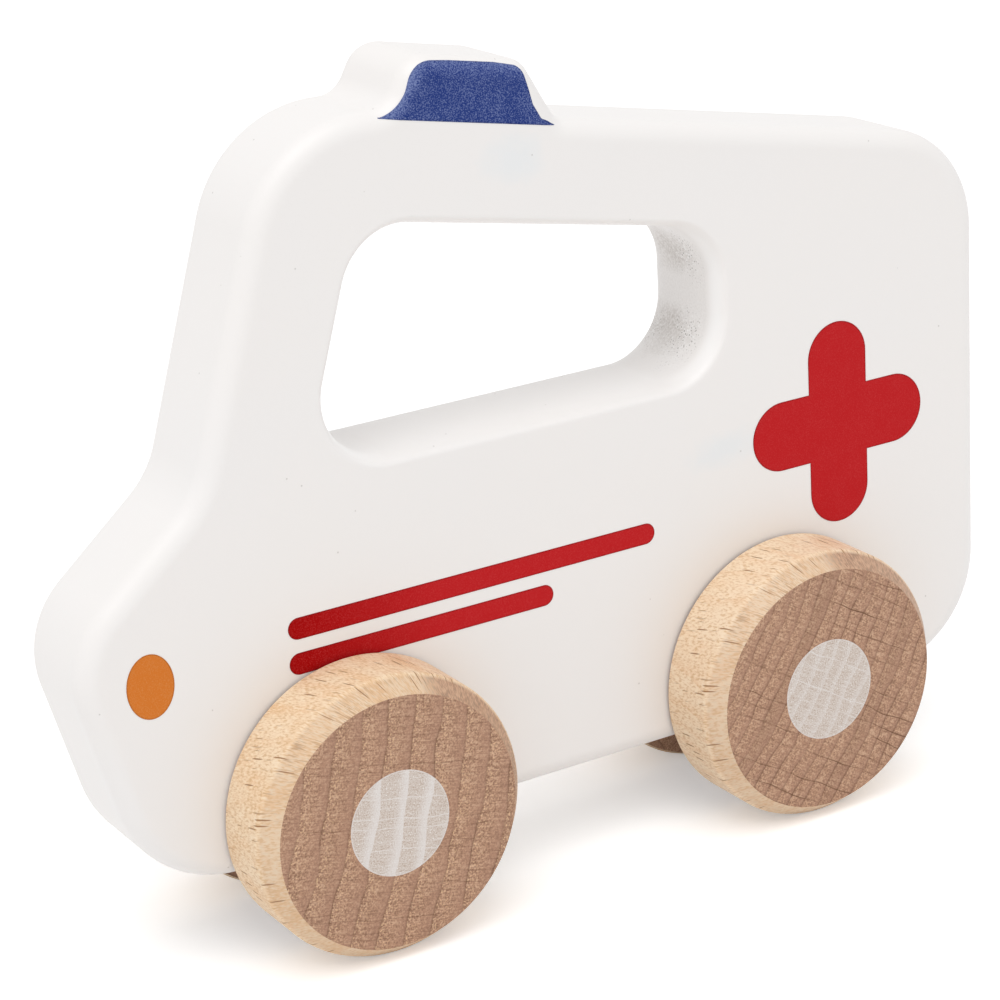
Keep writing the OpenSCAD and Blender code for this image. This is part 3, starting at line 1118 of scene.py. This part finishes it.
class AMBULANCE_OT_wheels(bpy.types.Operator):
    """Turn the four wheels and paint the pale disc on each"""

    bl_idname = "toy_ambulance.wheels"
    bl_label = "Turned Wheels"

    def execute(self, context):
        wheels = context.scene.toy_ambulance.wheels
        for node, wood in WHEEL_WOOD.items():
            low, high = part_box(node)
            side = 1 if low.y > 0 else -1
            radius = (high.z - low.z) / 2
            width = high.y - low.y - wheels.wash_film
            inner = low.y if side > 0 else high.y
            centre = ((low.x + high.x) / 2, inner, (low.z + high.z) / 2)
            profile = wheel_section(width, radius, wheels.edge_radius, wheels.brow_radius)
            piece = add_mesh(f"turned_{node}", *lathe(profile, centre, side, WHEEL_STEPS))
            end_grain = beech_end_grain(f"beech end grain, {node}", wheels, wood, centre)
            long_grain = beech_long_grain(f"turned beech, {node}", wheels, wood, centre, radius)
            body = node.split("_")[1] + "_wheelset"
            finish_piece(piece, body, [end_grain, long_grain], [node])
            # A corner has its arc and a point on each side, and the grain changes at the arc's middle
            per_corner = WHEEL_ARC_STEPS + 2
            strip = np.arange(len(profile[1:-1]) - 1)
            start, end = ((corner - 1) * per_corner + per_corner // 2 for corner in RIM_CORNERS)
            rim = (strip >= start) & (strip < end)
            material = np.zeros(len(piece.data.polygons), np.int32)
            material[:WHEEL_STEPS * len(strip)] = np.tile(rim, WHEEL_STEPS)
            piece.data.polygons.foreach_set("material_index", material)
            face = inner + side * width
            wash = oval_boundary(2 * wheels.wash_radius, 2 * wheels.wash_radius)
            sheet = film(wash, (centre[0], centre[2]), face, side, wheels.wash_film)
            disc = add_mesh(f"hub_{node}", *sheet)
            paint = hub_wash(f"white wash on beech, {node}", wheels, wood, centre)
            finish_piece(disc, body, [paint])
        return {"FINISHED"}


class AMBULANCE_OT_axles(bpy.types.Operator):
    """Give the dowel axles their wood"""

    bl_idname = "toy_ambulance.axles"
    bl_label = "Dowel Axles"

    def execute(self, context):
        wheels = context.scene.toy_ambulance.wheels
        for node in AXLES:
            low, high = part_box(node)
            radius = (high.z - low.z) / 2
            centre = tuple((low + high) / 2)
            wood = beech_long_grain(f"beech dowel, {node}", wheels, DOWEL_WOOD, centre, radius)
            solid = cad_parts[node].data
            solid.materials.clear()
            solid.materials.append(wood)
        return {"FINISHED"}


class AMBULANCE_OT_stage(bpy.types.Operator):
    """Set up the camera, the lamps, the floor and the room's light"""

    bl_idname = "toy_ambulance.stage"
    bl_label = "Studio"

    def execute(self, context):
        stage = context.scene.toy_ambulance.stage
        scene = context.scene
        scene.view_settings.view_transform = "Standard"
        turn = Euler((math.pi / 2 - stage.elevation, 0, math.pi / 2 + stage.azimuth)).to_matrix()
        turn = turn @ Matrix.Rotation(stage.roll, 3, "Z")
        camera = bpy.data.objects.new("camera", bpy.data.cameras.new("camera"))
        camera.data.lens = stage.lens
        place = Vector(stage.aim) + stage.distance * turn.col[2]
        camera.matrix_world = Matrix.LocRotScale(place, turn, None)
        scene.collection.objects.link(camera)
        scene.camera = camera
        lamp = bpy.data.lights.new("softbox", "AREA")
        lamp.shape = "SQUARE"
        lamp.size = SOFTBOX_SIZE
        lamp.energy = SOFTBOX_POWER
        softbox = bpy.data.objects.new("softbox", lamp)
        softbox.location = SOFTBOX_PLACE
        away = Vector(SOFTBOX_PLACE) - Vector(stage.aim)
        softbox.rotation_euler = away.to_track_quat("Z", "Y").to_euler()
        scene.collection.objects.link(softbox)
        square = FLOOR_REACH * np.array(((-1, -1, 0), (1, -1, 0), (1, 1, 0), (-1, 1, 0)))
        floor = add_mesh("floor", square, [np.array(((0, 1, 2, 3),))])
        floor.data.materials.append(studio_floor(stage))
        world = bpy.data.worlds.new("studio room")
        world.use_nodes = True
        tree = world.node_tree
        tree.nodes.clear()
        strength = between(camera_sees(tree), 0, 1, stage.room, 1)
        sky = add_node("Background", {"Color": as_colour(1), "Strength": strength})
        add_node("OutputWorld", {"Surface": sky})
        scene.world = world
        return {"FINISHED"}


class AMBULANCE_PT_panel(bpy.types.Panel):
    """Lists the steps that dress the toy ambulance"""

    bl_idname = "AMBULANCE_PT_panel"
    bl_label = "Toy Ambulance"
    bl_space_type = "VIEW_3D"
    bl_region_type = "UI"
    bl_category = "Toy Ambulance"

    def draw(self, context):
        for step in STEPS:
            self.layout.operator(step.bl_idname)


SETTINGS = (BoardSettings, PrintSettings, WheelSettings, StageSettings, AmbulanceSettings)
STEPS = (
    AMBULANCE_OT_stage,
    AMBULANCE_OT_board,
    AMBULANCE_OT_prints,
    AMBULANCE_OT_wheels,
    AMBULANCE_OT_axles,
)


def register():
    for each in (*SETTINGS, *STEPS, AMBULANCE_PT_panel):
        bpy.utils.register_class(each)
    bpy.types.Scene.toy_ambulance = PointerProperty(type=AmbulanceSettings)


def unregister():
    del bpy.types.Scene.toy_ambulance
    for each in reversed((*SETTINGS, *STEPS, AMBULANCE_PT_panel)):
        bpy.utils.unregister_class(each)


def main():
    """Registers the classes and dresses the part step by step."""
    register()
    bpy.ops.toy_ambulance.stage()
    bpy.ops.toy_ambulance.board()
    bpy.ops.toy_ambulance.prints()
    bpy.ops.toy_ambulance.wheels()
    bpy.ops.toy_ambulance.axles()


if __name__ == "__main__":
    main()
